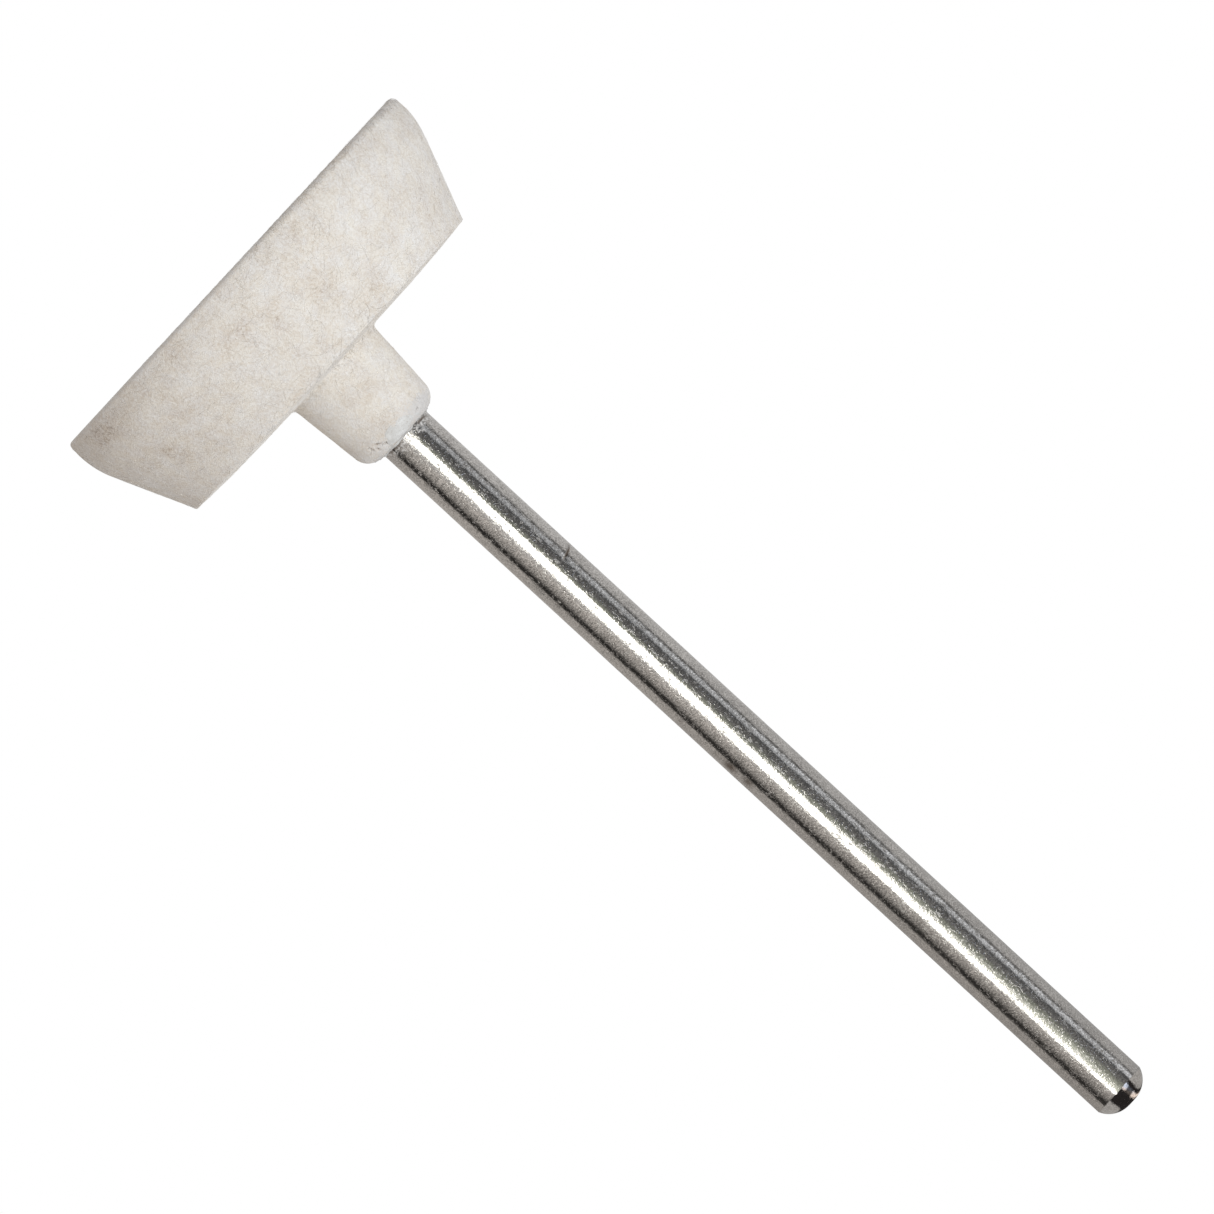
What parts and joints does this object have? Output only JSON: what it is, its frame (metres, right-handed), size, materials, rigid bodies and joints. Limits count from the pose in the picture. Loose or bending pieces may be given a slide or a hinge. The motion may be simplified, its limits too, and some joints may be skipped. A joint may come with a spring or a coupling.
{
  "type": "felt polishing wheel",
  "caption": "Small polishing wheel of hard felt with a crowned rim, a conical flank and a short hub, glued to a slim plated steel mandrel with a domed end.",
  "frame": {"origin": "centre of the wheel's flat working face", "axes": "+Z along the mandrel, from the working face towards the shank's free end; X and Y lie in the working face and are interchangeable"},
  "size_m": [0.0184, 0.0184, 0.0472],
  "materials": {
    "felt": "hard pressed wool felt, off-white, mottled",
    "plated_steel": "dull plating with drawn lines and fine pits",
    "adhesive": "matte, greyish, mixed with felt fibres"
  },
  "bodies": {
    "root": {"felt_head": "felt", "shank": "plated_steel", "glue_bond": "adhesive"}
  },
  "joints": []
}
